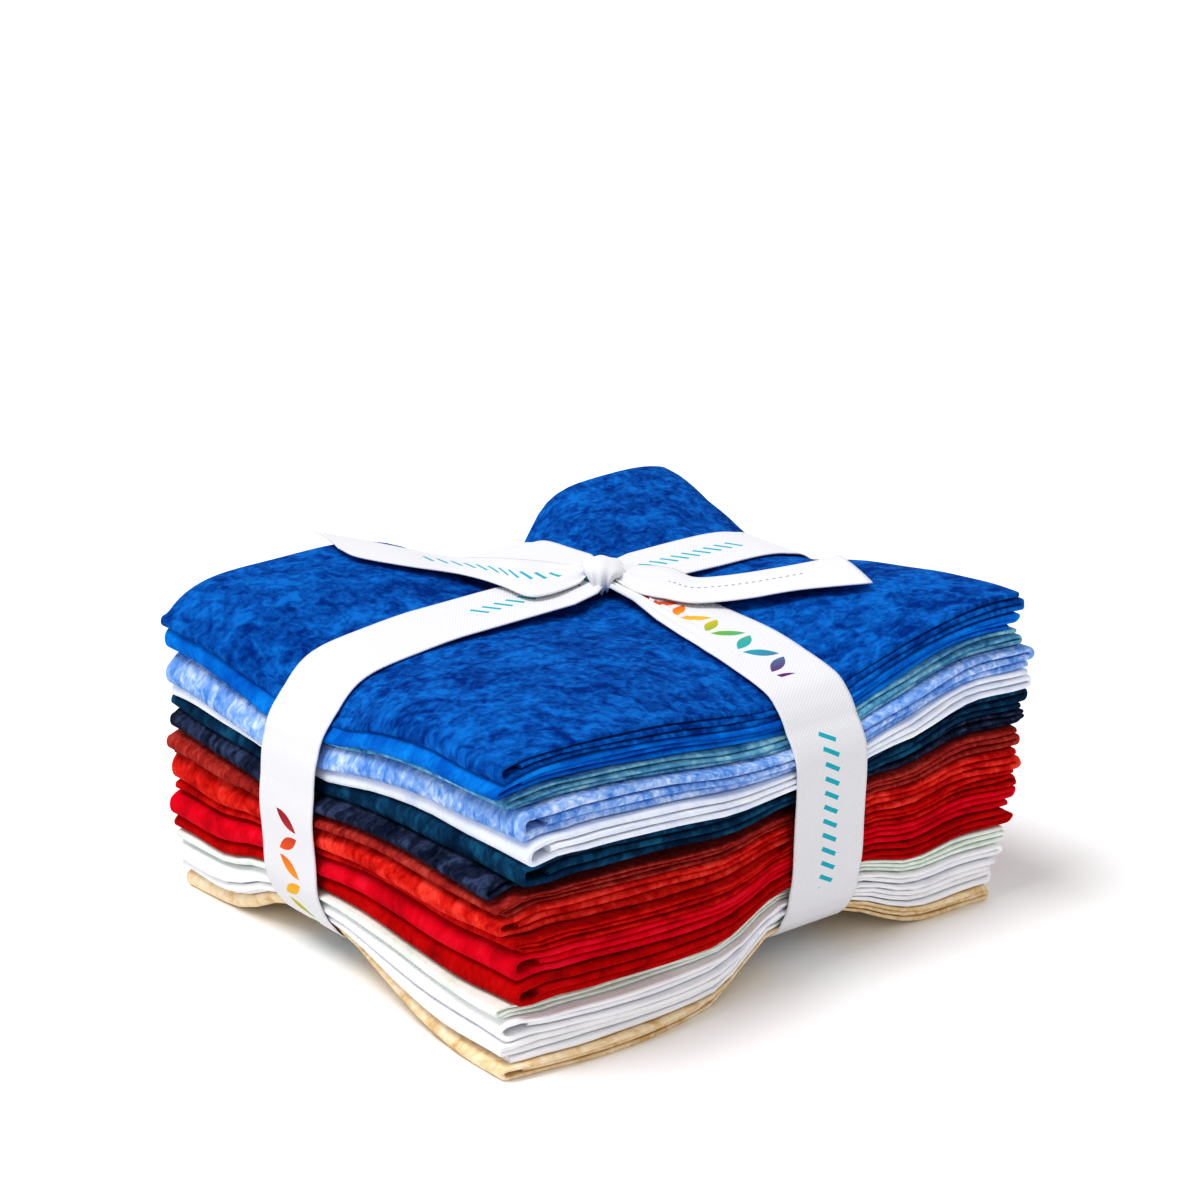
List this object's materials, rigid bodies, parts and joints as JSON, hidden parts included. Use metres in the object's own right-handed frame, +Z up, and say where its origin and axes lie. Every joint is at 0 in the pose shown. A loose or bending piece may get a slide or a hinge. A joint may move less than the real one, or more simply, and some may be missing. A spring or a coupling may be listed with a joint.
{
  "type": "fat quarter bundle",
  "caption": "Stack of folded cotton quilting quarters in blues, reds and whites, tied lengthwise and crosswise with a knotted white ribbon",
  "frame": {"origin": "centre of the bounding box in x and y, at the underside that rests on the surface", "axes": "+X along the stack's long side, away from the smooth folds; +Y along its short side, away from the side that shows the layers' edges; +Z up"},
  "size_m": [0.1666, 0.1474, 0.0821],
  "materials": {
    "cotton_royal": "matte",
    "cotton_azure": "matte",
    "cotton_light_teal": "matte",
    "cotton_periwinkle": "matte",
    "cotton_lavender": "matte",
    "cotton_dark_teal": "matte",
    "cotton_navy": "matte",
    "cotton_brick": "matte",
    "cotton_bright_red": "matte",
    "cotton_orange_red": "matte",
    "cotton_crimson": "matte",
    "cotton_deep_red": "matte",
    "cotton_green_white": "matte",
    "cotton_white": "matte",
    "cotton_plain_white": "matte",
    "cotton_beige": "matte",
    "ribbon_white": "matte"
  },
  "bodies": {
    "root": {"quarter_01_royal": "cotton_royal", "quarter_02_azure": "cotton_azure", "quarter_03_light_teal": "cotton_light_teal", "quarter_04_periwinkle": "cotton_periwinkle", "quarter_05_lavender": "cotton_lavender", "quarter_06_dark_teal": "cotton_dark_teal", "quarter_07_navy": "cotton_navy", "quarter_08_brick": "cotton_brick", "quarter_09_bright_red": "cotton_bright_red", "quarter_10_orange_red": "cotton_orange_red", "quarter_11_crimson": "cotton_crimson", "quarter_12_deep_red": "cotton_deep_red", "quarter_13_green_white": "cotton_green_white", "quarter_14_white": "cotton_white", "quarter_15_plain_white": "cotton_plain_white", "quarter_16_beige": "cotton_beige", "ribbon_long_band": "ribbon_white", "ribbon_short_band": "ribbon_white", "ribbon_knot": "ribbon_white", "ribbon_left_tail": "ribbon_white", "ribbon_right_tail": "ribbon_white"}
  },
  "joints": []
}
